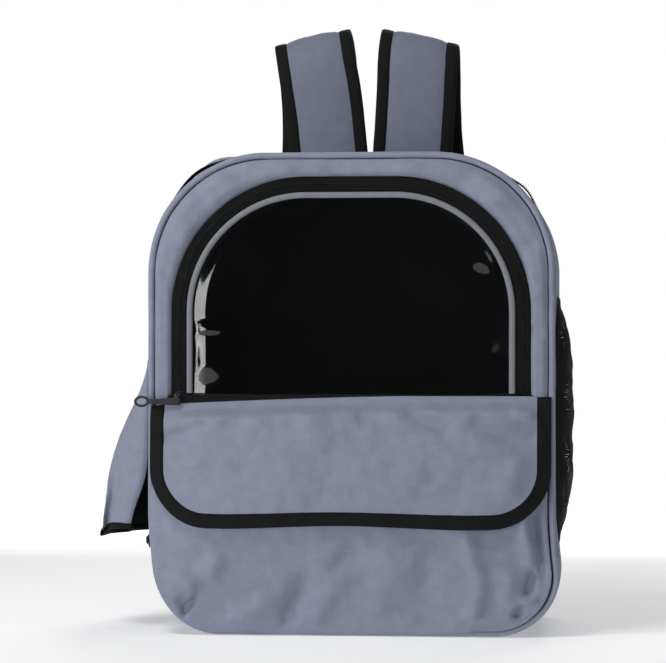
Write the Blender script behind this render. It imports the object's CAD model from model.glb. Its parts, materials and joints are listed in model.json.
import json
import math

import bmesh
import bpy
import numpy as np
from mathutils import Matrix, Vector, noise


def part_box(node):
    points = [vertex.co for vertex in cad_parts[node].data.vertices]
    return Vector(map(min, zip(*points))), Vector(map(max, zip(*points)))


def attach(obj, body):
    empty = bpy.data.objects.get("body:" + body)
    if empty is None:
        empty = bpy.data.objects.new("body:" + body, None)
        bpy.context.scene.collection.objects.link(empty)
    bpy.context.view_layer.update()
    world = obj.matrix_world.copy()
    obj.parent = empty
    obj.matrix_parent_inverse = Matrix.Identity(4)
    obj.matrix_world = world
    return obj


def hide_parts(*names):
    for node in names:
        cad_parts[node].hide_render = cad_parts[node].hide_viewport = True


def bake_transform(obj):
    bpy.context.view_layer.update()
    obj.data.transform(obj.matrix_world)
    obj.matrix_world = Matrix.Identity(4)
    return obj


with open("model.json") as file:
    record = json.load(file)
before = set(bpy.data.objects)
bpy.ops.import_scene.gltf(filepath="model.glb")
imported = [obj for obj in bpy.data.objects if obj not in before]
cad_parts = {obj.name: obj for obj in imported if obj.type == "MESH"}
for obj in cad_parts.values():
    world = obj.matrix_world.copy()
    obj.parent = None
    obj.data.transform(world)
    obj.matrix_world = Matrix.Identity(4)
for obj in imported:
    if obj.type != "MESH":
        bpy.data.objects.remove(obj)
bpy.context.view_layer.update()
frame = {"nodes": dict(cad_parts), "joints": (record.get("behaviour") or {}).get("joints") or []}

# A soft pet carrier worn as a backpack: skins, padding, zips and straps built round the CAD frame.
# Metres throughout, unless a comment says otherwise.
MM = 0.001
SIDES = {"left": -1, "right": 1}
OUT_FRONT = (0, -1, 0)
OUT_BACK = (0, 1, 0)

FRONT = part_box("front_panel")[0].y
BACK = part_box("back_panel")[1].y
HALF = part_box("front_piping")[1].x
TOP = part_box("front_piping")[1].z
TOP_RADIUS = 104 * MM
BOTTOM_RADIUS = 58 * MM
WALL_INSET = 0.6 * MM
PANEL_INSET = 5.8 * MM
FOLD = next(j["pos_m"] for j in frame["joints"] if j["name"] == "front_fold")
CURTAIN_LENGTH = 161 * MM
# Where cloth bends from one body to the next: the two bodies, and the bend's start and end.
FOLD_BEND = ("shell", "front", (0, FOLD[1], FOLD[2] - 16 * MM), (0, FOLD[1], FOLD[2] + 19 * MM))
FLAP_BEND = ("front", "flap", (0, -106 * MM, 209.5 * MM), (0, -106 * MM, 200.5 * MM))

# An outline is (half width, bottom, top, bottom corner radius, top corner radius).
BAG = (HALF, 0, TOP, BOTTOM_RADIUS, TOP_RADIUS)
DOOR = (156 * MM, 190 * MM, 398 * MM, 1 * MM, 117 * MM)
FLAP = (174.5 * MM, 95 * MM, 209.5 * MM, 50 * MM, 1 * MM)

# Creases, each (start, end, width, depth) in millimetres in the front's plane. A negative depth is a valley.
# Soft pleats in the upper front, where its cloth is eased round the arch.
FRONT_PLEATS = [
    ((-160, 372), (-128, 330), 7, 2.2), ((-140, 392), (-112, 352), 6, -2.0),
    ((-122, 408), (-90, 372), 7, 2.0), ((-168, 330), (-152, 300), 7, -1.8),
    ((-60, 414), (-48, 398), 8, 1.5), ((-12, 414), (-20, 398), 9, -1.4),
    ((60, 414), (44, 398), 9, 1.6), ((112, 408), (88, 378), 8, -2.0),
    ((140, 388), (112, 362), 8, 2.2), ((166, 346), (140, 330), 7, -2.4),
    ((170, 300), (156, 292), 6, 2.0), ((170, 262), (156, 270), 6, -1.8),
]
# The pocket's lower half: pulls towards the darts, and soft diagonals between them.
POCKET_FOLDS = [
    ((-152, 14), (-131, 41), 2.4, -3.4), ((-160, 52), (-130, 40), 10, 4.2),
    ((-150, 36), (-142, 22), 7, -3.2), ((-128, 44), (-110, 76), 9, 3.0),
    ((-112, 12), (-66, 34), 9, 3.4), ((-70, -4), (-38, 62), 7, -3.0),
    ((-22, 52), (10, 84), 8, -2.8), ((-44, 8), (-6, 60), 9, 2.4),
    ((12, 14), (40, 76), 14, 2.0), ((-160, 96), (-128, 70), 9, 2.0),
    ((98, 100), (110, 40), 8, 3.4), ((112, 50), (98, 8), 8, 2.6),
    ((160, 118), (165, 42), 4.6, -4.6), ((150, 112), (156, 58), 6, 2.6),
    ((148, 34), (156, 60), 4, -4.4), ((146, 30), (136, 18), 4, -3.0),
    ((160, 34), (130, 24), 5, 2.6), ((138, 60), (128, 24), 7, 2.4),
    ((80, 96), (56, 30), 14, -2.0), ((150, 14), (90, 20), 6, 2.0),
]
# The flap's pulls and wrinkles.
FLAP_FOLDS = [
    ((-168, 172), (-112, 196), 7, -2.2), ((-150, 182), (-100, 204), 9, 1.6),
    ((6, 188), (30, 202), 8, -2.0), ((44, 200), (92, 176), 8, -2.6),
    ((104, 190), (134, 172), 8, -2.2), ((126, 172), (164, 176), 7, -2.6),
    ((140, 200), (162, 190), 7, 1.8), ((-40, 196), (-18, 160), 12, 1.6),
    ((-60, 150), (-30, 110), 16, 1.4), ((60, 150), (100, 110), 16, -1.2),
    ((150, 160), (132, 118), 9, 1.6),
]
PANE_FOLDS = [
    ((-100, 300), (120, 286), 7, 0.22), ((-40, 274), (128, 262), 8, -0.2),
    ((-96, 236), (90, 252), 6, 0.25), ((60, 326), (118, 350), 5, 0.2),
]


# ---------------------------------------------------------------- numbers and curves

def smoothstep(x, start, end):
    t = np.clip((np.asarray(x, float) - start) / (end - start), 0, 1)
    return t * t * (3 - 2 * t)


def mix(a, b, t):
    return a + (b - a) * t


def unit(v):
    return v / np.maximum(np.linalg.norm(v, axis=-1, keepdims=True), 1e-12)


def ripple(points, size, octaves=2):
    """Smooth, repeatable unevenness between about -1 and 1, with folds about as wide as size."""
    flat = np.asarray(points, float).reshape(-1, 3) / size
    values = [noise.fractal(Vector(p), 1.0, 2.0, octaves) for p in flat]
    return np.array(values).reshape(np.shape(points)[:-1])


def crease(x, z, start, end, width, depth):
    """A fold along a line in the front's plane, fading at its ends. What follows x and z is in millimetres."""
    a, b = np.array(start) * MM, np.array(end) * MM
    along = b - a
    t = ((x - a[0]) * along[0] + (z - a[1]) * along[1]) / (along @ along)
    off = ((x - a[0]) * along[1] - (z - a[1]) * along[0]) / np.linalg.norm(along)
    fade = np.exp(-((t - 0.5) / 0.42) ** 4)
    return depth * MM * np.exp(-((off / (width * MM)) ** 2)) * fade


def folded(x, z, folds):
    """The sum of creases, each (start, end, width, depth)."""
    return sum(crease(x, z, *fold) for fold in folds)


def hump(x, middle, width):
    return np.exp(-(((x - middle) / width) ** 2))


def spot(x, z, seed=0.0):
    """Points for ripple over an upright plane. Another seed gives another pattern."""
    return np.stack([x, np.zeros_like(x) + seed, z], -1)


def facing(path, direction):
    """One direction, for every point of a path."""
    return np.tile(np.array(direction, float), (len(path), 1))


def raised(flat, y):
    """Points of the x-z plane at a given y. With y 0, directions of that plane."""
    return np.stack([flat[:, 0], np.full(len(flat), y), flat[:, 1]], 1)


def inset(outline, amount):
    """The outline moved inwards."""
    half, bottom, top, low, high = outline
    low, high = (max(radius - amount, MM / 2) for radius in (low, high))
    return half - amount, bottom + amount, top - amount, low, high


def half_width(z, outline):
    """Half the width of an outline at height z."""
    half, bottom, top, low, high = outline
    dip = np.clip(bottom + low - z, 0, low)
    rise = np.clip(z - (top - high), 0, high)
    return half - low + np.sqrt(low**2 - dip**2) - high + np.sqrt(high**2 - rise**2)


def arc(cx, cz, radius, start, end, count):
    turn = np.radians(np.linspace(start, end, count))
    return [(cx + radius * math.cos(t), cz + radius * math.sin(t)) for t in turn]


def line(a, b, count):
    return [tuple(mix(np.array(a), np.array(b), t)) for t in np.linspace(0, 1, count + 2)[1:-1]]


def loop(outline):
    """Matched stations round an outline in x and z, from its bottom's middle up its left side and over."""
    half, bottom, top, low, high = outline
    left = [(0, bottom)]
    left += line((0, bottom), (low - half, bottom), 22)
    left += arc(low - half, bottom + low, low, 270, 180, 16)
    left += line((-half, bottom + low), (-half, top - high), 50)
    left += arc(high - half, top - high, high, 180, 90, 34)
    left += line((high - half, top), (0, top), 12)
    right = [(-x, z) for x, z in reversed(left[1:])]
    return np.array(left + [(0, top)] + right)


def outward(points):
    """Unit normals of a closed loop in x and z, pointing away from its inside."""
    along = np.roll(points, -1, 0) - np.roll(points, 1, 0)
    return unit(np.stack([-along[:, 1], along[:, 0]], 1))


def smooth_path(points, steps=8):
    """A Catmull-Rom curve through points."""
    p = np.array(points, float)
    p = np.vstack([2 * p[0] - p[1], p, 2 * p[-1] - p[-2]])
    out = []
    for a, b, c, d in zip(p, p[1:], p[2:], p[3:]):
        for t in np.linspace(0, 1, steps, endpoint=False):
            curved = (2 * a - 5 * b + 4 * c - d) * t**2 + (3 * b - a - 3 * c + d) * t**3
            out.append(0.5 * (2 * b + (c - a) * t + curved))
    return np.array(out + [p[-2]])


def running(points, closed=False):
    """The length along points at each of them."""
    steps = np.diff(np.vstack([points, points[:1]]) if closed else points, axis=0)
    return np.concatenate([[0], np.cumsum(np.linalg.norm(steps, axis=1))])


def evenly(pitch, path, *others):
    """path, and what goes with each of its points, sampled again at an even pitch."""
    length = running(path)
    count = max(2, int(length[-1] / pitch))
    at = (np.arange(count) + 0.5) * length[-1] / count
    return [np.stack([np.interp(at, length, a[:, k]) for k in range(3)], 1) for a in (path, *others)]


# ---------------------------------------------------------------- meshes

def mesh_piece(name, points, faces, materials, uv=None):
    used, faces = np.unique(faces, return_inverse=True)
    faces = faces.reshape(-1, 4) if uv is not None else faces.reshape(-1, 3)
    mesh = bpy.data.meshes.new(name)
    mesh.from_pydata(points[used].tolist(), [], faces.tolist())
    mesh.polygons.foreach_set("use_smooth", [True] * len(mesh.polygons))
    if uv is not None:
        mesh.uv_layers.new(name="metres").data.foreach_set("uv", uv.ravel())
    for material in materials:
        mesh.materials.append(material)
    made = bpy.data.objects.new(name, mesh)
    bpy.context.scene.collection.objects.link(made)
    return made


def surface(name, grid, materials, out, around=False, keep=None, flat=False):
    """A piece from a grid of points (columns, rows, 3), its faces turned towards out, with UVs in metres."""
    columns, rows = grid.shape[:2]
    points = grid.reshape(-1, 3)
    last = columns if around else columns - 1
    i, j = [a.ravel() for a in np.meshgrid(np.arange(last), np.arange(rows - 1))]
    across = np.stack([i, i + 1, i + 1, i], 1)
    down = np.stack([j, j, j + 1, j + 1], 1)
    faces = (across % columns) * rows + down
    if flat:
        uv = points[faces][..., [0, 2]]
    else:
        u, v = running(grid[:, rows // 2], around), running(grid[columns // 2])
        uv = np.stack([u[across], v[down]], -1)
    centres = points[faces].mean(1)
    if keep is not None:
        chosen = keep(centres)
        faces, uv, centres = faces[chosen], uv[chosen], centres[chosen]
    towards = out(centres) if callable(out) else np.array(out, float)
    normals = np.cross(points[faces[:, 2]] - points[faces[:, 0]], points[faces[:, 3]] - points[faces[:, 1]])
    if (normals * towards).sum() < 0:
        faces, uv = faces[:, ::-1], uv[:, ::-1]
    return mesh_piece(name, points, faces, materials, uv)


def applied(piece):
    """The piece with its modifiers applied."""
    depsgraph = bpy.context.evaluated_depsgraph_get()
    piece.data = bpy.data.meshes.new_from_object(piece.evaluated_get(depsgraph))
    piece.modifiers.clear()
    return piece


def thickened(piece, thickness, offset=-1, lined=False):
    """The piece as a closed sheet, inside its faces with offset -1. Lined, its second material is inside."""
    solidify = piece.modifiers.new("thickness", "SOLIDIFY")
    solidify.thickness = thickness
    solidify.offset = offset
    solidify.use_even_offset = True
    solidify.material_offset = 1 if lined else 0
    return applied(piece)


def welded(piece):
    """The piece with touching points joined and its faces turned outwards."""
    bm = bmesh.new()
    bm.from_mesh(piece.data)
    bmesh.ops.remove_doubles(bm, verts=bm.verts, dist=1e-6)
    bmesh.ops.recalc_face_normals(bm, faces=bm.faces)
    bm.to_mesh(piece.data)
    bm.free()
    return piece


def closed_rings(name, rings, materials):
    """A tube from rings of points, closed at both ends."""
    centre = rings.mean(1)
    grid = np.concatenate([rings, rings[:, :1]], 1)
    ends = [np.broadcast_to(centre[k], grid[:1].shape) for k in (0, -1)]
    return welded(surface(name, np.concatenate([ends[0], grid, ends[1]]), materials, (0, 0, 0)))


def swept(name, path, across, out, section, materials, around=False):
    """A closed section of (across, out) points carried along a path."""
    section = np.asarray(section, float)
    ring = section if section.ndim == 3 else np.broadcast_to(section, (len(path), *section.shape))
    grid = path[:, None] + ring[..., :1] * across[:, None] + ring[..., 1:] * out[:, None]
    if not around:
        return closed_rings(name, grid, materials)
    grid = np.concatenate([grid, grid[:, :1]], 1)
    return welded(surface(name, grid, materials, (0, 0, 0), around=True))


def oval(width, height, count=12, power=2.0):
    """A rounded section. A higher power makes it squarer."""
    turn = np.linspace(0, 2 * math.pi, count, endpoint=False)
    c, s = np.cos(turn), np.sin(turn)
    shape = lambda v: np.sign(v) * np.abs(v) ** (2 / power)
    return np.stack([width / 2 * shape(c), height / 2 * shape(s)], 1)


def studs(name, path, out, pitch, size, material, sink=0.0):
    """Small rounded studs along a path, such as stitches and zip teeth. size is (along, across, high)."""
    path, out = evenly(pitch, path, out)
    along = unit(np.gradient(path, axis=0))
    out = unit(out - (out * along).sum(1, keepdims=True) * along)
    side = np.cross(along, out)
    turn = np.linspace(0, 2 * math.pi, 8, endpoint=False)
    levels = [(1, 0), (0.88, 0.5), (0.5, 0.88)]
    template = [(r * math.cos(t) / 2, r * math.sin(t) / 2, h) for r, h in levels for t in turn] + [(0, 0, 1)]
    template = np.array(template) * np.array(size)
    faces = []
    for k in range(len(levels) - 1):
        for t in range(8):
            a, b = 8 * k + t, 8 * k + (t + 1) % 8
            faces += [(a, b, b + 8), (a, b + 8, a + 8)]
    faces += [(16 + t, 16 + (t + 1) % 8, 24) for t in range(8)]
    faces += [(0, t + 1, t) for t in range(1, 7)]
    basis = np.stack([along, side, out], 1)
    points = path[:, None] + np.einsum("pk,nkc->npc", template - np.array([0, 0, sink]), basis)
    count = len(template)
    every = np.array(faces)[None] + count * np.arange(len(path))[:, None, None]
    return mesh_piece(name, points.reshape(-1, 3), every.reshape(-1, 3), [material])


def ride(piece, body, slot, *nodes):
    """The piece moves with a body, takes its finish from a slot, and stands for these CAD nodes."""
    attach(piece, body)
    if nodes:
        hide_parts(*nodes)
    return piece


def bend(piece, where, slot, *nodes):
    """The piece bends from one body to another. The slot and the nodes are as for ride."""
    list(where)
    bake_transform(piece)
    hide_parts(*nodes)


# ---------------------------------------------------------------- materials

def linear(r, g, b):
    """A colour picked as sRGB bytes, as the shader wants it."""
    channel = lambda c: c / 12.92 if c <= 0.04045 else ((c + 0.055) / 1.055) ** 2.4
    return tuple(channel(v / 255) for v in (r, g, b))


class Shader:
    """A material's node tree round one Principled shader."""

    def __init__(self, name, roughness, specular=0.5, sheen=0.0, metallic=0.0):
        self.material = bpy.data.materials.new(name)
        self.material.use_nodes = True
        self.nodes = self.material.node_tree.nodes
        self.links = self.material.node_tree.links
        self.main = self.nodes["Principled BSDF"]
        self.main.inputs["Roughness"].default_value = roughness
        self.main.inputs["Specular IOR Level"].default_value = specular
        self.main.inputs["Sheen Weight"].default_value = sheen
        self.main.inputs["Metallic"].default_value = metallic
        self.uv = self.node("ShaderNodeTexCoord").outputs["UV"]
        self.place = self.node("ShaderNodeTexCoord").outputs["Object"]
        self.height = None

    def node(self, kind, inputs=(), **settings):
        made = self.nodes.new(kind)
        for key, value in settings.items():
            setattr(made, key, value)
        for key, value in dict(inputs).items():
            if isinstance(value, bpy.types.NodeSocket):
                self.links.new(value, made.inputs[key])
            else:
                made.inputs[key].default_value = value
        return made

    def wave(self, direction, pitch, vector=None):
        """Bands at a pitch in metres."""
        bands = self.node("ShaderNodeTexWave", {"Vector": vector or self.uv, "Scale": 0.31416 / pitch},
                          wave_type="BANDS", bands_direction=direction)
        return bands.outputs["Fac"]

    def cloud(self, size, detail=3, vector=None):
        """Soft mottling about as large as size."""
        inputs = {"Vector": vector or self.place, "Scale": 1 / size, "Detail": detail}
        return self.node("ShaderNodeTexNoise", inputs).outputs["Fac"]

    def sum(self, operation, a, b):
        return self.node("ShaderNodeMath", {0: a, 1: b}, operation=operation).outputs[0]

    def colour(self, factor, dark, light, low=0.3, high=0.7):
        """The base colour runs from dark to light with factor."""
        ramp = self.node("ShaderNodeValToRGB", {"Fac": factor})
        for stop, at, value in zip(ramp.color_ramp.elements, (low, high), (dark, light)):
            stop.position = at
            stop.color = (*value, 1)
        self.links.new(ramp.outputs["Color"], self.main.inputs["Base Color"])

    def rough(self, factor, low, high):
        made = self.node("ShaderNodeMapRange", {"Value": factor, "To Min": low, "To Max": high})
        self.links.new(made.outputs[0], self.main.inputs["Roughness"])

    def bump(self, height, distance, strength=1.0):
        made = self.node("ShaderNodeBump", {"Height": height, "Distance": distance, "Strength": strength})
        if self.height:
            self.links.new(self.height, made.inputs["Normal"])
        self.height = made.outputs["Normal"]
        self.links.new(self.height, self.main.inputs["Normal"])


def shade(colour, amount):
    return tuple(c * amount for c in colour)


def oxford(name, colour, pitch=0.62 * MM, sheen=0.08):
    """Coated polyester oxford: a plain weave of fat threads, slightly mottled, with a soft sheen."""
    s = Shader(name, 0.72, 0.3, sheen)
    warp, weft = s.wave("X", pitch), s.wave("Y", pitch)
    over = s.sum("MULTIPLY", warp, s.wave("Y", 2 * pitch))
    under = s.sum("MULTIPLY", weft, s.wave("X", 2 * pitch))
    weave = s.sum("MAXIMUM", over, under)
    mottle = s.cloud(9 * MM, 6)
    thread = s.cloud(0.7 * MM, 2)
    cloth = s.sum("ADD", s.sum("MULTIPLY", mottle, 0.45), s.sum("MULTIPLY", thread, 0.3))
    tone = s.sum("ADD", s.sum("MULTIPLY", weave, 0.35), cloth)
    s.colour(tone, shade(colour, 0.76), shade(colour, 1.14), 0.25, 0.8)
    s.rough(mottle, 0.62, 0.8)
    s.bump(weave, 0.16 * MM, 0.6)
    s.bump(s.cloud(14 * MM, 4), 0.7 * MM, 0.35)
    return s.material


def ribbed(name, colour, pitch=1.1 * MM, direction="X"):
    """Woven tape with ribs across its length, a little dusty on the ribs."""
    s = Shader(name, 0.7, 0.16)
    ribs = s.wave(direction, pitch)
    dust = s.cloud(6 * MM, 5)
    tone = s.sum("ADD", s.sum("MULTIPLY", ribs, 0.5), s.sum("MULTIPLY", dust, 0.5))
    s.colour(tone, shade(colour, 0.5), shade(colour, 1.5), 0.2, 0.85)
    s.rough(dust, 0.6, 0.8)
    s.bump(ribs, 0.25 * MM, 0.7)
    return s.material


def moulded(name, colour, roughness=0.42, metallic=0.0, grain=0.5 * MM):
    """Moulded plastic or painted metal with a fine grain and rubbed patches."""
    s = Shader(name, roughness, 0.5, 0.0, metallic)
    rub = s.cloud(4 * MM, 5)
    s.colour(rub, shade(colour, 0.8), shade(colour, 1.35))
    s.rough(rub, roughness - 0.08, roughness + 0.12)
    s.bump(s.cloud(grain, 2), 0.05 * MM, 0.5)
    return s.material


def fuzzy(name, colour, size=0.9 * MM, height=0.6 * MM):
    """Brushed pile: fleece, or the loops of a hook and loop tape."""
    s = Shader(name, 0.95, 0.1, 0.3)
    pile = s.cloud(size, 6)
    s.colour(pile, shade(colour, 0.6), shade(colour, 1.25))
    s.bump(pile, height, 0.8)
    return s.material


def clear_vinyl(name):
    """Clear soft PVC: thin, glossy, with the faint unevenness of a rolled sheet."""
    s = Shader(name, 0.05, 0.5)
    s.main.inputs["Transmission Weight"].default_value = 1.0
    s.main.inputs["IOR"].default_value = 1.42
    s.colour(s.cloud(60 * MM, 2), (0.78, 0.8, 0.82), (0.92, 0.93, 0.94))
    s.rough(s.cloud(22 * MM, 3), 0.02, 0.09)
    s.bump(s.cloud(30 * MM, 2), 0.4 * MM, 0.15)
    return s.material


def open_mesh(name, colour, pitch=1.7 * MM):
    """Warp-knitted mesh with small staggered holes."""
    s = Shader(name, 0.7, 0.15)
    holes = s.sum("MULTIPLY", s.wave("X", pitch), s.wave("Y", pitch * 1.3))
    s.colour(s.cloud(3 * MM, 4), shade(colour, 0.6), shade(colour, 1.3))
    solid = s.sum("LESS_THAN", holes, 0.6)
    s.links.new(solid, s.main.inputs["Alpha"])
    s.bump(holes, 0.3 * MM, -0.6)
    return s.material


GREY = linear(139, 145, 165)
BLACK = linear(13, 14, 15)
M = {
    "fabric": oxford("lavender_grey_oxford", shade(GREY, 0.92)),
    "strap": oxford("strap_oxford", shade(GREY, 0.66)),
    "piping": oxford("piping_cloth", shade(GREY, 0.98), 0.5 * MM),
    "seam": ribbed("seam_shadow_thread", linear(44, 46, 56), 0.4 * MM),
    "trim": oxford("door_trim_cloth", linear(128, 131, 138), 0.5 * MM),
    "lining": oxford("black_lining", linear(9, 9, 10), 0.5 * MM, 0.0),
    "binding": ribbed("black_grosgrain", BLACK),
    "webbing": ribbed("black_webbing", linear(18, 18, 21), 1.5 * MM),
    "tape": ribbed("zip_tape_weave", linear(11, 12, 13), 0.7 * MM),
    "teeth": moulded("nylon_coil", linear(14, 14, 16), 0.42),
    "thread": ribbed("black_thread", linear(18, 18, 20), 0.3 * MM),
    "grey_thread": ribbed("grey_thread", shade(GREY, 0.8), 0.3 * MM),
    "vinyl": clear_vinyl("clear_pvc"),
    "mesh": open_mesh("black_mesh", linear(11, 11, 12)),
    "spacer": oxford("black_spacer_mesh", linear(18, 18, 20), 1.6 * MM, 0.02),
    "metal": moulded("painted_zinc", linear(12, 12, 14), 0.34, 0.4),
    "plastic": moulded("black_acetal", linear(12, 12, 14), 0.42),
    "board": moulded("grey_board", linear(88, 88, 92), 0.7),
    "fleece": fuzzy("grey_fleece", linear(104, 106, 112)),
    "loops": fuzzy("black_loop_pile", linear(12, 12, 13), 0.5 * MM, 0.3 * MM),
}
LINED_CLOTH = [M["fabric"], M["lining"]]


# ---------------------------------------------------------------- the shell's shape

def slump(grid):
    """The lower end of the bag has shifted to the right of its top, most of all at the front."""
    x, y, z = np.moveaxis(grid, -1, 0)
    shift = 5.5 * MM * (1 - smoothstep(z, 25 * MM, 105 * MM)) * (1 - smoothstep(y, 0, 90 * MM))
    return np.stack([x + shift, y, z], -1)


def pocket_bulge(x, z):
    """How far the pocket stands off the front panel."""
    full = 1 - np.minimum(np.abs(x) / (171 * MM), 1) ** 4
    rise = smoothstep(z, 7 * MM, 85 * MM) * (1 - 0.25 * smoothstep(z, 120 * MM, 190 * MM))
    return 15 * MM * full * rise


def flap_stand_off(x, z):
    """How far the flap's inner face stands off the front panel as it lies over the pocket."""
    over = pocket_bulge(x, np.minimum(z, 190 * MM)) + 4.4 * MM
    return mix(over, 3 * MM, smoothstep(z, 192 * MM, 204 * MM))


def shell_skin():
    """The gusset that runs all round between the two pipings, puffed out behind the zip at its upper left."""
    ring = loop(inset(BAG, WALL_INSET))
    normal = outward(ring)
    depth = np.linspace(0, 1, 56)
    x, z = ring[:, :1], ring[:, 1:]
    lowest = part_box("gusset_base")[0].y
    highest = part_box("gusset_top")[0].y
    start = mix(lowest, highest, smoothstep(z, 58 * MM, 72 * MM))
    y = mix(start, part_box("gusset_top")[1].y, depth)
    grid = np.stack([np.broadcast_to(x, y.shape), y, np.broadcast_to(z, y.shape)], -1)
    sides = np.sin(math.pi * depth) ** 0.6
    give = (0.8 + 1.6 * ripple(grid, 70 * MM)) * sides
    corner = hump(x, -126 * MM, 27 * MM) * hump(z, 410 * MM, 22 * MM)
    give = give + 10.5 * corner * hump(depth, 0.18, 0.17) * smoothstep(depth, 0, 0.06)
    give = np.where(z < 12 * MM, np.minimum(give, 0.3), give)
    grid[..., [0, 2]] += (give * MM)[..., None] * normal[:, None]
    return slump(grid)


def window_outline(side):
    """(front, back, bottom, top, corner radius) of a side window."""
    lo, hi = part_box(f"mesh_binding_{side}")
    edge = 4.5 * MM
    return lo.y + edge, hi.y - edge, lo.z + edge, hi.z - edge, {"left": 26, "right": 36}[side] * MM


def in_window(points, side, grow=0.0):
    front, back, bottom, top, radius = window_outline(side)
    cy, cz = (front + back) / 2, (bottom + top) / 2
    dy = np.abs(points[:, 1] - cy) - ((back - front) / 2 - radius)
    dz = np.abs(points[:, 2] - cz) - ((top - bottom) / 2 - radius)
    corner = np.hypot(np.maximum(dy, 0), np.maximum(dz, 0)) + np.minimum(np.maximum(dy, dz), 0)
    return (corner < radius + grow) & (points[:, 0] * SIDES[side] > 0.15)


def build_shell():
    away = lambda c: c * np.array([1, 0, 1]) - np.array([0, 0, 0.21])
    solid = lambda c: ~(in_window(c, "left") | in_window(c, "right"))
    skin = surface("shell_skin", shell_skin(), LINED_CLOTH, away, around=True, keep=solid)
    thickened(skin, 1.6 * MM, lined=True)
    ride(skin, "shell", "shell_fabric", "gusset_top", "gusset_left", "gusset_right", "gusset_base")


def panel(outline, columns, rows, depth):
    """A grid over an outline. depth(x, z) gives y."""
    z = mix(outline[1], outline[2], 0.5 - 0.5 * np.cos(np.linspace(0, math.pi, rows)))
    u = np.linspace(-1, 1, columns)[:, None]
    x = u * half_width(z, outline)
    z = np.broadcast_to(z, x.shape)
    return np.stack([x, depth(x, z), z], -1)


def loft(outer, inner, rows, depth):
    """A grid between two outlines. depth(x, z, t) gives y, with t from 0 outside to 1 inside."""
    t = np.linspace(0, 1, rows)[:, None]
    flat = mix(loop(outer)[:, None], loop(inner)[:, None], t)
    y = depth(flat[..., 0], flat[..., 1], t[:, 0])
    return np.stack([flat[..., 0], y, flat[..., 1]], -1)


def build_front_panel():
    """The upper front: puffed cloth between the piping and the arched zip. Below its fold, the lower front."""
    lo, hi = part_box("front_panel")
    outer = (hi.x + 0.8 * MM, lo.z, hi.z + 0.8 * MM, MM, TOP_RADIUS - PANEL_INSET + 0.8 * MM)
    inner = (DOOR[0] - MM, 209 * MM, DOOR[2] - MM, MM, DOOR[4] - MM)

    def depth(x, z, t):
        puff = 4.2 * MM * smoothstep(t, 0, 0.35) * (1 - smoothstep(t, 0.66, 1.0)) + 0.5 * MM
        rolled = 2.2 * MM * smoothstep(t, 0.8, 1.0)
        place = spot(x, z)
        uneven = (1.5 * MM * ripple(place, 28 * MM) + 1.5 * folded(x, z, FRONT_PLEATS)) * smoothstep(t, 0, 0.3)
        raised_cloth = puff + uneven * (1 - smoothstep(t, 0.75, 1.0))
        return lo.y + 0.4 * MM + rolled - raised_cloth * smoothstep(z, 190 * MM, 215 * MM)

    grid = loft(outer, inner, 16, depth)
    skin = surface("front_skin", grid, LINED_CLOTH, OUT_FRONT, around=True, flat=True)
    ride(thickened(skin, 1.4 * MM, lined=True), "front", "shell_fabric", "front_panel")
    low = (hi.x + 0.8 * MM, 5 * MM, 65.7 * MM, BOTTOM_RADIUS - 5 * MM, MM)
    grid = slump(panel(low, 60, 18, lambda x, z: lo.y + 0 * x))
    lower = surface("front_lower_skin", grid, LINED_CLOTH, OUT_FRONT, flat=True)
    ride(thickened(lower, 1.4 * MM, lined=True), "shell", "shell_fabric", "front_lower_panel")


def piping_seam(path, out, along):
    """The dark stitched line beside the front's piping."""
    line = path - out * 3.4 * MM + along * 1.1 * MM
    section = oval(1.3 * MM, 0.9 * MM, 10)
    return swept("front_piping_seam", line, out, along, section, [M["seam"]], around=True)


def piping_ring(name, y, material, moved, seam=None):
    """A cloth-covered cord sewn round an outline. seam makes the line beside it."""
    radius = 2.75 * MM
    ring = loop(inset(BAG, radius))
    normal = outward(ring)
    path, out = raised(ring, y), raised(normal, 0)
    path += 0.35 * MM * ripple(path, 40 * MM)[:, None] * out
    path = slump(path) if moved else path
    along = facing(path, OUT_FRONT)
    cord = swept(name, path, out, along, oval(2 * radius, 2 * radius, 16), [material], around=True)
    return (cord, seam(path, out, along)) if seam else cord


def build_piping():
    front, seam = piping_ring("front_piping_cord", FRONT + 0.9 * MM, M["piping"], True, piping_seam)
    bend(front, FOLD_BEND, "piping", "front_piping", "front_lower_piping")
    bend(seam, FOLD_BEND, "piping")
    back = piping_ring("back_piping_cord", BACK - 1.2 * MM, M["piping"], False)
    ride(back, "shell", "piping", "back_piping")


# ---------------------------------------------------------------- pocket, flap and curtain

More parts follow.
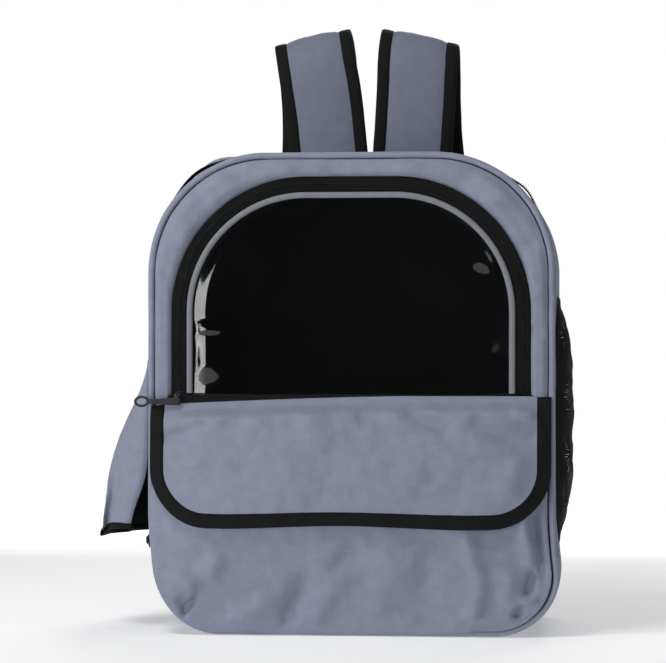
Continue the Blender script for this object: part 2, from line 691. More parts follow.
def build_pocket():
    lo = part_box("pocket_lower_panel")[0]
    outline = (171 * MM, lo.z, 190 * MM, BOTTOM_RADIUS - 7 * MM, MM)

    def depth(x, z):
        place = spot(x, z)
        edge = smoothstep(half_width(z, outline) - np.abs(x), 0, 11 * MM) * smoothstep(z, 8 * MM, 20 * MM)
        uneven = 2.6 * MM * ripple(place, 46 * MM, 3) + 1.9 * folded(x, z, POCKET_FOLDS)
        under_flap = 1 - smoothstep(z, 104 * MM, 126 * MM)
        over_piping = 1.6 * MM * smoothstep(-x, 40 * MM, 150 * MM)
        over_piping += 0.6 * MM * smoothstep(20 * MM - z, 0, 12 * MM)
        return FRONT - 2.6 * MM - over_piping - pocket_bulge(x, z) - uneven * under_flap * edge

    grid = panel(outline, 200, 150, depth)
    left = smoothstep(-grid[..., 0], 60 * MM, 165 * MM) * smoothstep(150 * MM - grid[..., 2], 0, 40 * MM)
    low = smoothstep(40 * MM - grid[..., 2], 0, 32 * MM)
    low *= 1 - 0.6 * smoothstep(grid[..., 0], 60 * MM, 130 * MM)
    grid[..., 0] -= 4.6 * MM * left
    grid[..., 2] -= 4.6 * MM * low
    skin = surface("pocket_skin", slump(grid), LINED_CLOTH, OUT_FRONT, flat=True)
    thickened(skin, 1.1 * MM, lined=True)
    bend(skin, FOLD_BEND, "shell_fabric", "pocket_panel", "pocket_lower_panel")


def flap_depth(x, z, off):
    """y of the flap's cloth, off metres outside its inner face. Its top edge is turned in to the seam."""
    place = spot(x, z, 0.3)
    free = smoothstep(209 * MM - z, 1 * MM, 13 * MM)
    uneven = np.maximum(2.6 * MM * ripple(place, 46 * MM, 3) + 2.3 * folded(x, z, FLAP_FOLDS), -3.8 * MM)
    turned_in = 1.6 * MM * smoothstep(z, 206 * MM, 209.5 * MM)
    return FRONT - flap_stand_off(x, z) - off - free * (uneven + 3.6 * MM) + turned_in


def flap_top(x):
    """The flap's top edge sinks towards its left corner, where it lies over the end of the zip."""
    return -7.5 * MM * np.clip((50 * MM - x) / (213 * MM), 0, 1.1) ** 1.4


def flap_edge():
    """Stations down the flap's left side, along its bottom and up its right side, with outward normals."""
    ring = loop(FLAP)
    normal = outward(ring)
    count = len(ring) // 2
    start = int(np.argmax(ring[:count, 1] >= FLAP[2] - 3 * MM))
    order = [*range(start, -1, -1), *range(len(ring) - 1, len(ring) - 1 - start, -1)]
    edge, normal = ring[order], normal[order]
    ends = edge[[0, -1]] * [1, 0] + [0, FLAP[2] - 0.5 * MM]
    return np.vstack([ends[:1], edge, ends[1:]]), np.vstack([normal[:1], normal, normal[-1:]])


def sink_corner(x, z):
    """Heights pulled down near the flap's top edge, and the slack of its lower edge."""
    slack = 1.6 * MM * np.sin((x + 60 * MM) / (34 * MM)) * smoothstep(120 * MM - z, 0, 20 * MM)
    sunk = flap_top(x) * smoothstep(z, 120 * MM, 204 * MM)
    return z + sunk + slack - 1.5 * MM * smoothstep(z, 190 * MM, 209 * MM)


def build_flap():
    inner = inset(FLAP, 5 * MM)
    outline = (inner[0], inner[1], FLAP[2], inner[3], MM)
    grid = panel(outline, 190, 90, lambda x, z: flap_depth(x, z, 0.9 * MM))
    grid[..., 2] = sink_corner(grid[..., 0], grid[..., 2])
    skin = surface("flap_skin", grid, LINED_CLOTH, OUT_FRONT, flat=True)
    skin = thickened(skin, 1.2 * MM, offset=0, lined=True)
    bend(skin, FLAP_BEND, "shell_fabric", "flap_panel")

    edge, normal = flap_edge()
    width = 12.5 * MM
    section = oval(width, 3.2 * MM, 16, 3.2)
    middle = edge - normal * (width / 2)
    flat = middle[:, None] + section[None, :, :1] * normal[:, None]
    x, z = flat[..., 0], flat[..., 1]
    y = flap_depth(x, z, 0.9 * MM) - section[None, :, 1]
    rings = np.stack([x, y, sink_corner(x, z)], -1)
    binding = closed_rings("flap_binding_tape", rings, [M["binding"]])
    bend(binding, FLAP_BEND, "black_binding", "flap_binding")
    inside = edge - normal * (width - 1.6 * MM)
    y = flap_depth(inside[:, 0], inside[:, 1], 0.9 * MM) - 1.5 * MM
    path = np.stack([inside[:, 0], y, sink_corner(inside[:, 0], inside[:, 1])], 1)
    out = facing(path, OUT_FRONT)
    thread = studs("flap_stitches", path, out, 3 * MM, (2.2 * MM, 0.5 * MM, 0.3 * MM), M["thread"])
    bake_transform(thread)


def curtain_point(u, v, lift=0.0):
    """The curtain's cloth: u runs from its front edge to its rear one, v from its seam to its hem."""
    lo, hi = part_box("curtain_panel")
    low = smoothstep(v, 0.35, 1.0)
    y = mix(lo.y, hi.y, u) + 0 * v
    y = y + 16 * MM * hump(u, 0.12, 0.09) * low
    y = y - 13 * MM * hump(u, 0.33, 0.12) * smoothstep(v, 0.1, 0.8)
    peak = u ** 0.72
    full = 1 - np.abs(2 * peak - 1) ** 3
    full = full + (1 - full) * 0.34 * smoothstep(v, 0.5, 1.0) * (1 - smoothstep(u, 0.0, 0.5))
    flare = (v + 0.12 * np.sin(math.pi * np.minimum(v, 1))) * 48 * MM * full
    ridge = hump(u, 0.24, 0.06) * smoothstep(v, 0.1, 0.5) * (1 - smoothstep(v, 0.55, 1.0))
    rear = hump(u, 0.66, 0.09) * smoothstep(v, 0.3, 1.0)
    x = hi.x - 2 * MM - flare - (5 * ridge - 8 * rear) * MM * np.minimum(1, 1.5 * full) - lift
    z = hi.z + 1.5 * MM - v * CURTAIN_LENGTH + 9 * MM * hump(u, 0, 0.2) * smoothstep(v, 0.6, 1.0)
    return np.stack([x, y, z + 0 * u], -1)


def build_curtain():
    u = np.linspace(0, 1, 90)[:, None]
    v = np.linspace(0.01, 0.965, 64)[None]
    grid = curtain_point(u, v)
    grid[..., 0] -= 1.2 * MM * ripple(grid, 24 * MM) * np.sin(math.pi * u) ** 0.5 * smoothstep(v, 0, 0.2)
    skin = surface("curtain_skin", grid, LINED_CLOTH, (-1, 0, 0))
    thickened(skin, 1.0 * MM, offset=0, lined=True)
    ride(skin, "curtain", "shell_fabric", "curtain_panel")
    rim = np.linspace(0, 1, 90)
    section = oval(6 * MM, 3.0 * MM, 14, 3)
    rings = [curtain_point(rim, np.full(90, 1.0 - (3.2 * MM + a) / CURTAIN_LENGTH), b) for a, b in section]
    hem = closed_rings("curtain_hem_tape", np.stack(rings, 1), [M["binding"]])
    ride(hem, "curtain", "black_binding", "curtain_hem")


# ---------------------------------------------------------------- side windows

def build_side_window(side):
    """Mesh behind a stitched binding. The right one bellies outwards."""
    sign = SIDES[side]
    front, back, bottom, top, radius = window_outline(side)
    outline = ((back - front) / 2, bottom, top, radius, radius)
    middle = (front + back) / 2
    bulge = {"left": 1.5 * MM, "right": 13 * MM}[side]
    base = abs(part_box(f"mesh_{side}")[0 if side == "right" else 1].x) + 0.3 * MM
    grid = panel(inset(outline, -1 * MM), 48, 64, lambda x, z: 0 * x)
    across, z = grid[..., 0].copy(), grid[..., 2].copy()
    level = 1 - (np.abs(across) / outline[0]) ** 4
    upright = 1 - np.abs((z - (bottom + top) / 2) / ((top - bottom) / 2)) ** 4
    belly = bulge * np.clip(level, 0, 1) * np.clip(upright, 0, 1)
    place = np.stack([z, across, z], -1)
    wrinkle = 0.16 * bulge * ripple(place, 30 * MM) * np.clip(level, 0, 1)
    x = sign * (base + belly + np.maximum(wrinkle, -0.5 * belly))
    mesh = surface(f"mesh_{side}_net", np.stack([x, across + middle, z], -1), [M["mesh"]], (sign, 0, 0))
    thickened(mesh, 0.6 * MM, offset=0)
    ride(mesh, "shell", "mesh", f"mesh_{side}")
    ring = loop(outline)
    normal = outward(ring)
    lo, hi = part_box(f"mesh_binding_{side}")
    path = np.stack([np.full(len(ring), (lo.x + hi.x) / 2), ring[:, 0] + middle, ring[:, 1]], 1)
    out = np.stack([np.zeros(len(ring)), normal[:, 0], normal[:, 1]], 1)
    away = facing(ring, (sign, 0, 0))
    section = oval(9 * MM, 2.2 * MM, 14, 3)
    binding = swept(f"mesh_binding_{side}_tape", path, out, away, section, [M["binding"]], around=True)
    ride(binding, "shell", "black_binding", f"mesh_binding_{side}")
    for at, row in ((3 * MM, "outer"), (-3 * MM, "inner")):
        line = path + out * at + away * 0.95 * MM
        line, up = (np.vstack([a, a[:1]]) for a in (line, away))
        size = (2.1 * MM, 0.5 * MM, 0.35 * MM)
        thread = studs(f"mesh_{side}_{row}_stitches", line, up, 3 * MM, size, M["thread"])
        ride(thread, "shell", "black_binding")


# ---------------------------------------------------------------- zips

def door_stations(offset):
    """The arched part of the door's outline, from its left foot to its right one, moved inwards."""
    ring = loop(inset(DOOR, offset))
    keep = ring[:, 1] > DOOR[1] + offset + 2 * MM
    first = int(np.argmax(keep))
    last = len(keep) - int(np.argmax(keep[::-1]))
    return ring[first:last], outward(ring)[first:last]


def arch_strip(name, offset, width, y, thick, material, above=None, power=4.0):
    """A flat strip along the door's arch."""
    path, normal = door_stations(offset)
    if above is not None:
        inside = path[:, 1] > above
        path, normal = path[inside], normal[inside]
    out = facing(path, OUT_FRONT)
    return swept(name, raised(path, y), raised(normal, 0), out, oval(width, thick, 12, power), [material])


def build_door_zip():
    """Two tapes along the arch with their teeth and stitches, and the stitches that hold the front's cloth."""
    y = FRONT - 0.4 * MM
    tape = arch_strip("door_zip_outer_cloth", 2.6 * MM, 6.6 * MM, y, 1.3 * MM, M["tape"])
    ride(tape, "front", "zip", "door_zip_outer_tape", "door_zip_end_left", "door_zip_end_right")
    tape = arch_strip("door_zip_inner_cloth", 9.6 * MM, 5.4 * MM, y, 1.3 * MM, M["tape"], 209.5 * MM)
    ride(tape, "window_door", "zip", "door_zip_inner_tape")
    teeth, stitch = (1.25 * MM, 2.1 * MM, 1.3 * MM), (2.0 * MM, 0.45 * MM, 0.3 * MM)
    rows = (("door_zip_outer_teeth", 5.4, "front", 0.45, 1.9, teeth, "teeth", "zip"),
            ("door_zip_inner_teeth", 7.0, "window_door", 0.45, 1.9, teeth, "teeth", "zip"),
            ("door_zip_outer_stitches", 0.8, "front", 0.6, 2.8, stitch, "thread", "zip"),
            ("door_zip_inner_stitches", 11.6, "window_door", 0.6, 2.8, stitch, "thread", "zip"),
            ("front_skin_stitches", -2.2, "front", 1.1, 3.2, (2.3 * MM, 0.5 * MM, 0.3 * MM), "grey_thread",
             "shell_fabric"))
    for name, offset, body, forwards, pitch, size, material, slot in rows:
        path, _ = door_stations(offset * MM)
        if body == "window_door":
            path = path[path[:, 1] > FLAP[2]]
        line = raised(path, y - forwards * MM)
        ride(studs(name, line, facing(line, OUT_FRONT), pitch * MM, size, M[material]), body, slot)


def zip_stations(y, radius_inset):
    """The main zip's line, from fold to fold over the top. It gapes at the upper corners."""
    ring = loop(inset(BAG, radius_inset))
    keep = np.flatnonzero(ring[:, 1] > FOLD[2] + 1.5 * MM)
    ring, normal = ring[keep], outward(ring)[keep]
    x, z = ring.T
    gape = 4.6 * hump(x, -134 * MM, 26 * MM) * hump(z, 402 * MM, 26 * MM)
    gape += 3.4 * hump(x, 152 * MM, 14 * MM) * hump(z, 388 * MM, 16 * MM)
    ring = ring + (gape * MM)[:, None] * normal
    return raised(ring, y), raised(normal, 0)


def build_main_zip():
    """Two tapes standing on edge behind the front's piping, with their teeth meeting between them."""
    rows = {"front": ("front", 1), "rear": ("shell", -1)}
    boxes = {row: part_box(f"main_zip_{row}_tape") for row in rows}
    teeth_y = (boxes["front"][1].y + boxes["rear"][0].y) / 2
    for row, (body, towards) in rows.items():
        lo, hi = boxes[row]
        path, normal = zip_stations((lo.y + hi.y) / 2 - towards * 1.2 * MM, 1.2 * MM)
        section = oval(7.6 * MM, 1.2 * MM, 12, 4)
        tape = swept(f"main_zip_{row}_cloth", slump(path), facing(path, OUT_BACK), normal, section, [M["tape"]])
        ride(tape, body, "zip", f"main_zip_{row}_tape")
        path, normal = zip_stations(teeth_y - towards * 0.85 * MM, 0.9 * MM)
        size = (1.4 * MM, 2.2 * MM, 1.3 * MM)
        teeth = studs(f"main_zip_{row}_teeth", slump(path), normal, 2.1 * MM, size, M["teeth"])
        ride(teeth, body, "zip")


# ---------------------------------------------------------------- window door

def build_window_door():
    body = "window_door"
    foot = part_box("door_binding")[0].z
    trim = arch_strip("door_trim", 15.3 * MM, 5.2 * MM, FRONT - 1.2 * MM, 4.4 * MM, M["trim"], foot, 2.2)
    ride(trim, body, "shell_fabric", "door_binding")
    lo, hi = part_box("window_pane")
    arch = inset(DOOR, DOOR[0] - hi.x)
    outline = (hi.x + 0.8 * MM, lo.z, hi.z + 0.8 * MM, MM, arch[4] + 0.8 * MM)

    def lobe(z, height, size):
        return np.exp(-((np.abs(z - height * MM) / (size * MM)) ** 3))

    def depth(x, z):
        place = spot(x, z, 0.7)
        side = half_width(z, outline) - np.abs(x)
        rim = smoothstep(side, 0, 13 * MM) * smoothstep(outline[2] - z, 0, 15 * MM)
        slack = 0.5 * MM * ripple(place, 95 * MM) + 0.12 * MM * ripple(place * np.array([1, 1, 2.2]), 34 * MM)
        lobes = np.where(x < 0, lobe(z, 243, 19) + 0.9 * lobe(z, 267, 5), lobe(z, 270, 24) + lobe(z, 328, 11))
        swell = 1.7 * MM * lobes * (1 - smoothstep(side, 12 * MM, 34 * MM))
        return (lo.y + hi.y) / 2 - rim * (2.4 * MM + slack + folded(x, z, PANE_FOLDS) + swell)

    skin = surface("window_sheet", panel(outline, 150, 120, depth), [M["vinyl"]], OUT_FRONT, flat=True)
    thickened(skin, 0.5 * MM, offset=0)
    ride(skin, body, "clear_vinyl", "window_pane")


# ---------------------------------------------------------------- sliders and pulls

def plate(name, outline, y_front, thick, material, bevel=0.35 * MM):
    """A flat moulded shape: an outline in x and z, its edges rounded."""
    count = len(outline)
    front = [(x, y_front, z) for x, z in outline]
    back = [(x, y_front + thick, z) for x, z in outline]
    mesh = bpy.data.meshes.new(name)
    sides = [(i, (i + 1) % count, (i + 1) % count + count, i + count) for i in range(count)]
    faces = [tuple(range(count)), tuple(reversed(range(count, 2 * count)))]
    mesh.from_pydata(front + back, [], faces + sides)
    mesh.materials.append(material)
    made = bpy.data.objects.new(name, mesh)
    bpy.context.scene.collection.objects.link(made)
    welded(made)
    modifier = made.modifiers.new("edges", "BEVEL")
    modifier.width = bevel
    modifier.segments = 3
    return applied(made)


def turned(piece, quarter, centre):
    """The piece turned about the vertical through centre: quarter turns from facing the front."""
    angle = quarter * math.pi / 2
    c, s = math.cos(angle), math.sin(angle)
    for v in piece.data.vertices:
        x, y = v.co.x - centre[0], v.co.y - centre[1]
        v.co.x, v.co.y = centre[0] + c * x - s * y, centre[1] + s * x + c * y
    return piece


def joined(name, pieces):
    bm = bmesh.new()
    for piece in pieces:
        bm.from_mesh(piece.data)
    mesh = bpy.data.meshes.new(name)
    bm.to_mesh(mesh)
    bm.free()
    for material in pieces[0].data.materials:
        mesh.materials.append(material)
    for piece in pieces:
        bpy.data.objects.remove(piece)
    mesh.polygons.foreach_set("use_smooth", [True] * len(mesh.polygons))
    made = bpy.data.objects.new(name, mesh)
    bpy.context.scene.collection.objects.link(made)
    return made


def slider_body(name, centre, quarter):
    """A zip slider: two shield-shaped plates joined by a post, with a bridge on the outer one."""
    x, y, z = centre
    shield = [(0.5, -1), (0.62, -0.4), (0.95, 0.25), (1, 0.7), (0.6, 1), (-0.6, 1), (-1, 0.7), (-0.95, 0.25),
              (-0.62, -0.4), (-0.5, -1)]
    outline = [(x + 4.6 * MM * a, z + 6.6 * MM * b) for a, b in shield]
    hump_line = ((1.6, 4.6), (3.5, 3.4), (4.2, 0), (3.5, -3.4), (1.6, -4.6))
    bridge = smooth_path([(x, y - high * MM, z + up * MM) for high, up in hump_line], 6)
    side = facing(bridge, (1, 0, 0))
    section = oval(2.6 * MM, 0.9 * MM, 10, 3)
    along = unit(np.gradient(bridge, axis=0))
    parts = [plate(name + "_outer", outline, y - 2.4 * MM, 1.1 * MM, M["metal"]),
             plate(name + "_inner", outline, y + 1.5 * MM, 1.0 * MM, M["metal"]),
             swept(name + "_bridge", bridge, side, np.cross(side, along), section, [M["metal"]])]
    return joined(name, [turned(p, quarter, centre) for p in parts])


def pull_tab(name, hook, towards, across, out, length):
    """A pull: a loop round the slider's bridge, a tapering tab, and an oval finger ring at its end."""
    hook, towards, across, out = (np.array(v, float) for v in (hook, towards, across, out))
    turn = np.linspace(0, 2 * math.pi, 40, endpoint=False)
    ring_long, ring_wide = 5.6 * MM, 3.9 * MM
    centre = hook + towards * (length - ring_long - 1.2 * MM)
    ring = centre + np.outer(np.cos(turn) * ring_long, towards) + np.outer(np.sin(turn) * ring_wide, across)
    radial = unit(ring - centre)
    flat_out = np.tile(out, (len(ring), 1))
    section = oval(2.3 * MM, 1.9 * MM, 10, 2.5)
    parts = [swept(name + "_ring", ring, radial, flat_out, section, [M["plastic"]], around=True)]
    reach = length - 2 * ring_long - 1.6 * MM
    stations = np.linspace(-2.5 * MM, reach, 14)
    tab = hook + np.outer(stations, towards)
    width = mix(6.4 * MM, 4.4 * MM, smoothstep(stations, 0, reach))
    section = oval(1, 1.8 * MM, 14, 3.5)[None] * np.stack([width, np.ones(14)], 1)[:, None]
    parts.append(swept(name + "_tab", tab, facing(tab, across), facing(tab, out), section, [M["plastic"]]))
    return joined(name, parts)


def build_sliders():
    lo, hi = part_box("door_slider")
    centre = ((lo.x + hi.x) / 2, FRONT - 0.2 * MM, (lo.z + hi.z) / 2)
    ride(slider_body("door_slider_body", centre, 0), "door_slider", "slider_metal", "door_slider")
    lo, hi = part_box("door_pull")
    hook = (hi.x - 2.5 * MM, (lo.y + hi.y) / 2, (lo.z + hi.z) / 2)
    pull = pull_tab("door_pull_tab", hook, (-1, 0, 0), (0, 0, 1), (0, -1, 0), hook[0] - lo.x)
    ride(pull, "door_pull", "black_plastic", "door_pull")
    lo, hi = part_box("main_slider")
    centre = (-HALF + 1.2 * MM, (lo.y + hi.y) / 2, (lo.z + hi.z) / 2)
    ride(slider_body("main_slider_body", centre, -1), "main_slider", "slider_metal", "main_slider")
    lo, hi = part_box("main_pull")
    hook = ((lo.x + hi.x) / 2, lo.y + 2.5 * MM, (lo.z + hi.z) / 2)
    pull = pull_tab("main_pull_tab", hook, (0, 1, 0), (0, 0, 1), (-1, 0, 0), hi.y - hook[1])
    ride(pull, "main_pull", "black_plastic", "main_pull")


# ---------------------------------------------------------------- shoulder straps

STRAP_SPACING = 39 * MM
STRAP_WIDTH = 71 * MM
WEB_WIDTH = 25 * MM
WEB_THICKNESS = 1.6 * MM

# Knots of the strap's curve in millimetres: (outwards, pushed to the left, y, z).
STRAP_CURVE = [(0, 0, 108, 421.4), (4, 1, 109, 470), (9, 4, 113, 518), (12, 6, 131, 541), (11, 5, 150, 522),
               (10, 3, 159, 460), (15, 1, 162, 385), (26, 0, 160, 335)]


def strap_frame(side):
    """The strap's centre line, with its directions across and outwards. The pair is pushed to the left."""
    sign = SIDES[side]
    knots = [(sign * (STRAP_SPACING + t * MM) - push * MM, y * MM, z * MM) for t, push, y, z in STRAP_CURVE]
    path = evenly(2.2 * MM, smooth_path(knots, 18))[0]
    along = unit(np.gradient(path, axis=0))
    share = running(path) / running(path)[-1]
    tilt = (0.1 + 0.12 * smoothstep(share, 0.05, 0.3)) * (1 - smoothstep(share, 0.42, 0.7))
    across_hint = np.stack([np.ones(len(path)), np.zeros(len(path)), -sign * tilt], 1)
    across = unit(across_hint - (across_hint * along).sum(1, keepdims=True) * along)
    return path, across, np.cross(across, along), share


def build_strap(side):
    """A padded strap with a folded binding and two rows of stitches on each edge."""
    body = f"strap_{side}"
    path, across, out, share = strap_frame(side)
    section = oval(1, 1, 56, 2)
    u = np.clip(section[:, 0] * 2, -1, 1)
    level = np.clip((0.72 - np.abs(u)) / 0.5, 0, 1) ** 0.45
    half = np.where(np.abs(section[:, 1]) < 1e-9, 0, (1.7 + 3.2 * level) * MM * np.sign(section[:, 1]))
    rings = path[:, None] + (u * STRAP_WIDTH / 2)[None, :, None] * across[:, None]
    rings = rings + half[None, :, None] * out[:, None]
    bend = hump(share, 0.4, 0.1)[:, None]
    slant = ripple(rings * np.array([0.45, 1, 1]) + rings[..., 2:] * np.array([0.5, 0, 0]), 17 * MM)
    pucker = 0.9 * MM * slant * (0.5 + 1.2 * bend) + 0.5 * MM * ripple(rings, 40 * MM)
    rings += (pucker * level * np.sign(section[:, 1]))[..., None] * out[:, None]
    pad = closed_rings(f"strap_cloth_{side}", rings, [M["strap"]])
    ride(pad, body, "shell_fabric", f"strap_pad_{side}")
    for edge_name, at in (("a", -1), ("b", 1)):
        middle = path + across * at * (STRAP_WIDTH / 2 - 4.3 * MM)
        middle = middle + 0.5 * MM * ripple(middle, 30 * MM)[:, None] * across
        folded = oval(12.4 * MM, 6.2 * MM, 18, 3.2)
        tape = swept(f"strap_binding_{side}_{edge_name}_tape", middle, across, out, folded, [M["binding"]])
        ride(tape, body, "black_binding", f"strap_binding_{side}_{edge_name}")
        for face, facing in ((-1, "back"), (1, "front")):
            line = middle - across * at * 4.6 * MM + out * face * 2.95 * MM
            thread = studs(f"strap_stitches_{side}_{edge_name}_{facing}", line, out * face, 3.2 * MM,
                           (2.3 * MM, 0.5 * MM, 0.35 * MM), M["thread"])
            ride(thread, body, "black_binding")


def band(name, knots, width, thick, side, steps=10, material="webbing"):
    """Flat webbing through knots, its width along side."""
    path = smooth_path(knots, steps)
    along = unit(np.gradient(path, axis=0))
    side = np.tile([side], (len(path), 1)).astype(float)
    across = unit(side - (side * along).sum(1, keepdims=True) * along)
    return swept(name, path, across, np.cross(across, along), oval(width, thick, 14, 4), [M[material]])


def recoloured(node, material):
    """A CAD piece that keeps showing, with its own material."""
    piece = frame["nodes"][node]
    piece.data.materials.clear()
    piece.data.materials.append(M[material])
    return piece


def build_ladder_lock(side):
    soften = recoloured(f"ladder_lock_{side}", "plastic").modifiers.new("edges", "BEVEL")
    soften.width = 0.5 * MM
    soften.segments = 2


def build_strap_tail(side):
    """The loose end of the webbing, hanging from the ladder lock."""
    lo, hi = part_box(f"strap_tail_{side}")
    x = (lo.x + hi.x) / 2
    knots = [(x, hi.y - 0.8 * MM, hi.z - 1 * MM), (x, hi.y - 0.4 * MM, hi.z - 30 * MM),
             (x + 1.5 * MM, hi.y + 2.5 * MM, mix(lo.z, hi.z, 0.5)),
             (x + 3 * MM, hi.y + 0.5 * MM, lo.z + 18 * MM), (x + 3.5 * MM, hi.y + 1.0 * MM, lo.z)]
    tail = band(f"strap_tail_{side}_web", knots, WEB_WIDTH, WEB_THICKNESS, (1, 0, 0))
    ride(tail, f"strap_{side}", "webbing", f"strap_tail_{side}")


def build_webbing(side):
    """The web that holds the ladder lock to the pad, and the one that runs down to the bottom seam."""
    sign = SIDES[side]
    end = strap_frame(side)[0][-1]
    lo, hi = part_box(f"ladder_lock_{side}")
    x, y = (lo.x + hi.x) / 2, (lo.y + hi.y) / 2
    knots = [(end[0], end[1], end[2] + 10 * MM), (x, y, hi.z + 1 * MM), (x, y, hi.z - 3 * MM)]
    hanger = band(f"strap_hanger_{side}_web", knots, WEB_WIDTH, 3.0 * MM, (1, 0, 0))
    ride(hanger, f"strap_{side}", "webbing")
    top = (end[0] + sign * MM, end[1] - MM, end[2] - 31 * MM)
    knots = [(sign * 122 * MM, 106 * MM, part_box(f"webbing_{side}")[0].z + 0.5 * MM),
             (sign * 116 * MM, 113 * MM, 84 * MM), (sign * 104 * MM, 132 * MM, 140 * MM),
             (sign * 88 * MM, 149 * MM, 215 * MM), (top[0] + sign * 4 * MM, top[1] - MM, top[2] - 40 * MM), top]
    web = band(f"webbing_{side}_web", knots, WEB_WIDTH, WEB_THICKNESS, (1, 0, 0))
    ride(web, f"webbing_{side}", "webbing", f"webbing_{side}")


def build_webbing_tab(side):
    lo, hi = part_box(f"webbing_tab_{side}")
    x, y = (lo.x + hi.x) / 2, (lo.y + hi.y) / 2
    knots = [(x, y - 0.2 * MM, lo.z), (x, y, mix(lo.z, hi.z, 0.5)), (x, y, hi.z)]
    tab = band(f"webbing_tab_{side}_web", knots, 30 * MM, 2.2 * MM, (1, 0, 0))
    ride(tab, "shell", "webbing", f"webbing_tab_{side}")


def build_anchor():
    """The reinforcing patch at the top of the back that both straps are sewn to, box-stitched."""
    lo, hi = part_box("strap_anchor")
    outline = ((hi.x - lo.x) / 2, lo.z, hi.z, 8 * MM, 3 * MM)

    def depth(x, z):
        place = np.stack([x, z, z], -1)
        return hi.y - 0.4 * MM + 0.3 * MM * ripple(place, 25 * MM)

    patch = surface("strap_anchor_patch", panel(outline, 60, 20, depth), [M["strap"]], OUT_BACK, flat=True)
    thickened(patch, 2.2 * MM)
    ride(patch, "shell", "shell_fabric", "strap_anchor")
    ring = loop(inset(outline, 3 * MM))
    path = raised(np.vstack([ring, ring[:1]]), hi.y - 0.1 * MM)
    out = facing(path, OUT_BACK)
    size = (2.2 * MM, 0.5 * MM, 0.4 * MM)
    thread = studs("strap_anchor_stitches", path, out, 3 * MM, size, M["grey_thread"])
    ride(thread, "shell", "shell_fabric")


# ---------------------------------------------------------------- back and inside

def build_back():
    lo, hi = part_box("back_panel")
    radii = (BOTTOM_RADIUS - PANEL_INSET, TOP_RADIUS - PANEL_INSET)
    outline = (hi.x + 0.8 * MM, lo.z - 0.6 * MM, hi.z + 0.6 * MM, *radii)

    def depth(x, z):
        place = spot(x, z, 0.5)
        edge = smoothstep(half_width(z, outline) - np.abs(x), 0, 20 * MM)
        return hi.y - 0.9 * MM + 0.8 * MM * ripple(place, 60 * MM) * edge

    skin = surface("back_skin", panel(outline, 90, 90, depth), LINED_CLOTH, OUT_BACK, flat=True)
    ride(thickened(skin, 1.4 * MM, lined=True), "shell", "shell_fabric", "back_panel")


def build_back_pad():
    """A foam back pad, sewn into three upright cushions."""
    lo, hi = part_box("back_pad")
    width, thick = hi.x - lo.x, hi.y - lo.y
    outline = (width / 2, lo.z, hi.z, 22 * MM, 22 * MM)
    channels = np.array([-width / 6, width / 6])

    def sewn(x, z):
        line = np.min(np.abs(x[..., None] - channels), -1)
        rim = np.minimum(half_width(z, outline) - np.abs(x), np.minimum(z - lo.z, hi.z - z))
        return smoothstep(line, -2 * MM, 15 * MM) ** 0.7 * smoothstep(rim, -1 * MM, 14 * MM) ** 0.6

    def depth(x, z):
        place = spot(x, z)
        return lo.y + 1.4 * MM + (thick + 1.5 * MM + 0.6 * MM * ripple(place, 35 * MM)) * sewn(x, z)

    front = panel(outline, 110, 120, depth)
    pad = surface("back_pad_cushion", front, [M["spacer"]], (0, 1, 0), flat=True)
    thickened(pad, 1.2 * MM)
    ride(pad, "shell", "shell_fabric", "back_pad")
    rim = loop(inset(outline, 1 * MM))
    normal = outward(rim)
    path = raised(rim, lo.y + 1.3 * MM)
    out = facing(path, OUT_BACK)
    section = oval(7 * MM, 3.2 * MM, 12, 3)
    edge = swept("back_pad_edge", path, raised(normal, 0), out, section, [M["binding"]], around=True)
    ride(edge, "shell", "black_binding")


def build_inside():
    lo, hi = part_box("floor_mat")
    outline = ((hi.y - lo.y) / 2, lo.x, hi.x, 20 * MM, 20 * MM)
    grid = panel(outline, 60, 70, lambda x, z: 0 * x)
    across, along = grid[..., 0], grid[..., 2]
    rim = np.minimum(half_width(along, outline) - np.abs(across), np.minimum(along - lo.x, hi.x - along))
    swell = smoothstep(rim, -1 * MM, 14 * MM) ** 0.6
    place = np.stack([along, across, 0 * along], -1)
    height = 0.5 * (hi.z - lo.z) * swell * (1 + 0.15 * ripple(place, 40 * MM))
    middle = (lo.z + hi.z) / 2
    y = across + (lo.y + hi.y) / 2
    top = np.stack([along, y, middle + height], -1)
    under = np.stack([along, y, middle - height], -1)
    upper = surface("mat_upper", top, [M["fleece"]], (0, 0, 1))
    lower = surface("mat_lower", under, [M["fleece"]], (0, 0, -1))
    mat = welded(joined("floor_mat_cushion", [upper, lower]))
    ride(mat, "shell", "mat", "floor_mat")
    recoloured("base_board", "board")


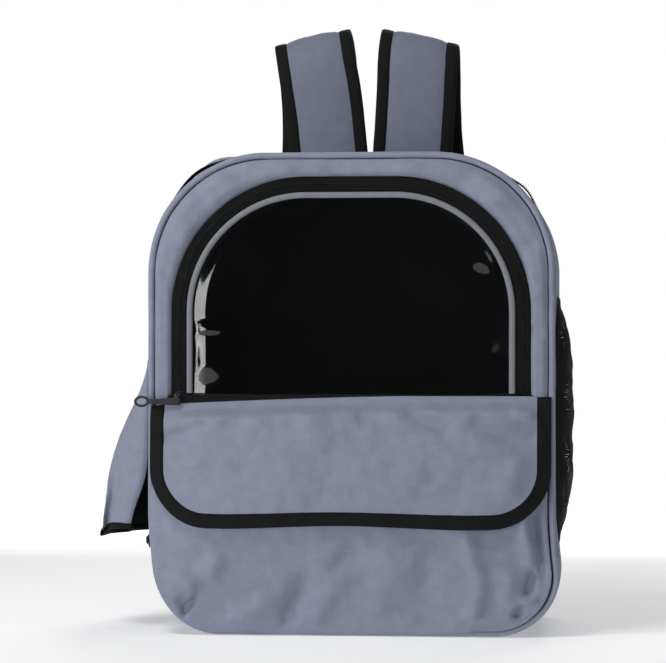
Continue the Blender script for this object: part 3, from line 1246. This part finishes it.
def build_small_tapes():
    """The hook and loop patches, and the seam tapes that hold the flap and the curtain."""
    for node, body, stand in (("pocket_loop_tape", "front", -1.9 * MM), ("flap_hook_tape", "flap", -4.0 * MM)):
        lo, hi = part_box(node)
        outline = (hi.x, lo.z, hi.z, 3 * MM, 3 * MM)
        grid = panel(outline, 50, 14, lambda x, z: FRONT - pocket_bulge(x, z) + stand)
        patch = surface(node + "_pile", grid, [M["loops"]], OUT_FRONT, flat=True)
        thickened(patch, 0.8 * MM, offset=0)
        ride(patch, body, "hook_and_loop", node)
    lo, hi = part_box("flap_seam_tape")
    y, z, reach = (lo.y + hi.y) / 2, hi.z - 4.2 * MM, hi.x + 24 * MM
    knots = [(-reach, y, z), (0, y, z), (reach, y, z)]
    tape = band("flap_seam_cloth", knots, 8.6 * MM, 2.2 * MM, (0, 0, 1), 12, "binding")
    ride(tape, "front", "shell_fabric", "flap_seam_tape")
    lo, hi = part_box("curtain_seam_tape")
    x, z = (lo.x + hi.x) / 2, (lo.z + hi.z) / 2
    knots = [(x, lo.y, z), (x, 0, z), (x, hi.y, z)]
    tape = band("curtain_seam_cloth", knots, hi.z - lo.z, 3.2 * MM, (0, 0, 1), 12, "piping")
    ride(tape, "shell", "shell_fabric", "curtain_seam_tape")


# ---------------------------------------------------------------- stage, lights and camera

# Each light: place and target in metres, its size, and its power in watts.
LIGHTS = {
    "key": ((-0.45, -0.75, 1.5), (0, -0.1, 0.3), (0.5, 0.35), 8.5),
    "top": ((0.1, -0.2, 2.3), (0, 0, 0.3), (2.2, 1.8), 8.5),
    "low": ((-1.4, -1.9, 0.3), (0, -0.1, 0.05), (1.4, 0.6), 17),
    "left": ((-2.2, -1.3, 0.9), (0, 0, 0.2), (1.0, 1.4), 12),
    "right": ((2.2, -1.4, 1.0), (0, 0, 0.2), (1.0, 1.4), 7),
    "rear": ((0.3, 2.0, 1.8), (0, 0.1, 0.2), (1.6, 1.0), 22),
}
FLOOR_HALF_WIDTH = 2.2
FLOOR_FRONT, FLOOR_BACK = -1.9, 1.6
FLOOR_HEIGHT = -0.6 * MM
FLOOR_GLOW = 0.28


def area_light(name, place, target, size, power):
    data = bpy.data.lights.new(name, "AREA")
    data.shape = "RECTANGLE"
    data.size, data.size_y = size
    data.energy = power
    made = bpy.data.objects.new(name, data)
    made.location = place
    made.rotation_euler = (Vector(target) - Vector(place)).to_track_quat("-Z", "Y").to_euler()
    bpy.context.scene.collection.objects.link(made)


def floor_material():
    """Pale paper that runs out into the white background behind the bag and at its far sides."""
    sheet = Shader("pale_paper", 0.9, 0.1)
    sheet.colour(sheet.cloud(0.4, 3), (0.9, 0.9, 0.9), (0.93, 0.93, 0.93))
    across = sheet.node("ShaderNodeSeparateXYZ", {0: sheet.place})
    sideways = sheet.sum("ABSOLUTE", across.outputs["X"], 0.0)

    def fading(distance, start, end):
        return sheet.node("ShaderNodeMapRange", {"Value": distance, "From Min": start, "From Max": end})

    behind = fading(across.outputs["Y"], 0.5, 1.3)
    aside = fading(sideways, 0.9, 1.8)
    edge = sheet.sum("MAXIMUM", behind.outputs[0], aside.outputs[0])
    fade = sheet.sum("MAXIMUM", edge, FLOOR_GLOW)
    sheet.main.inputs["Emission Color"].default_value = (1, 1, 1, 1)
    sheet.links.new(fade, sheet.main.inputs["Emission Strength"])
    return sheet.material


def build_floor():
    along = np.linspace(FLOOR_FRONT, FLOOR_BACK, 9)
    rows = np.stack([np.zeros(9), along, np.full(9, FLOOR_HEIGHT)], 1)
    grid = rows[None] + np.linspace(-FLOOR_HALF_WIDTH, FLOOR_HALF_WIDTH, 9)[:, None, None] * np.array([1, 0, 0])
    surface("paper_floor", grid, [floor_material()], (0, 0, 1))


def build_world():
    """White behind the bag, and nearly dark for everything the bag reflects, so that the pane stays clear."""
    world = bpy.data.worlds.new("studio")
    bpy.context.scene.world = world
    world.use_nodes = True
    nodes, links = world.node_tree.nodes, world.node_tree.links
    dim, white = nodes["Background"], nodes.new("ShaderNodeBackground")
    pick, ray = nodes.new("ShaderNodeMixShader"), nodes.new("ShaderNodeLightPath")
    dim.inputs["Color"].default_value = (0.9, 0.93, 1, 1)
    dim.inputs["Strength"].default_value = 0.04
    white.inputs["Color"].default_value = (1, 1, 1, 1)
    links.new(ray.outputs["Is Camera Ray"], pick.inputs["Fac"])
    links.new(dim.outputs[0], pick.inputs[1])
    links.new(white.outputs[0], pick.inputs[2])
    links.new(pick.outputs[0], nodes["World Output"].inputs["Surface"])


def build_stage():
    build_floor()
    build_world()
    for name, light in LIGHTS.items():
        area_light(name, *light)


def build_camera():
    """The main view: level, from slightly to the right, through a long lens."""
    wide, distance, azimuth = 0.579, 2.5, math.radians(5.6)
    aim = Vector((-15 * MM, FRONT, 264 * MM))
    data = bpy.data.cameras.new("camera")
    data.sensor_width = 36
    data.lens = 36 * distance / wide
    data.clip_start, data.clip_end = 0.1, 50
    camera = bpy.data.objects.new("camera", data)
    camera.location = aim + Vector((math.sin(azimuth), -math.cos(azimuth), 0)) * distance
    camera.rotation_euler = (aim - camera.location).to_track_quat("-Z", "Y").to_euler()
    bpy.context.scene.collection.objects.link(camera)
    bpy.context.scene.camera = camera
    bpy.context.scene.view_settings.view_transform = "Standard"


build_camera()
build_stage()
build_shell()
build_front_panel()
build_piping()
build_pocket()
build_flap()
build_curtain()
for side in SIDES:
    build_side_window(side)
    build_strap(side)
    build_ladder_lock(side)
    build_strap_tail(side)
    build_webbing(side)
    build_webbing_tab(side)
build_door_zip()
build_main_zip()
build_window_door()
build_sliders()
build_anchor()
build_back()
build_back_pad()
build_inside()
build_small_tapes()
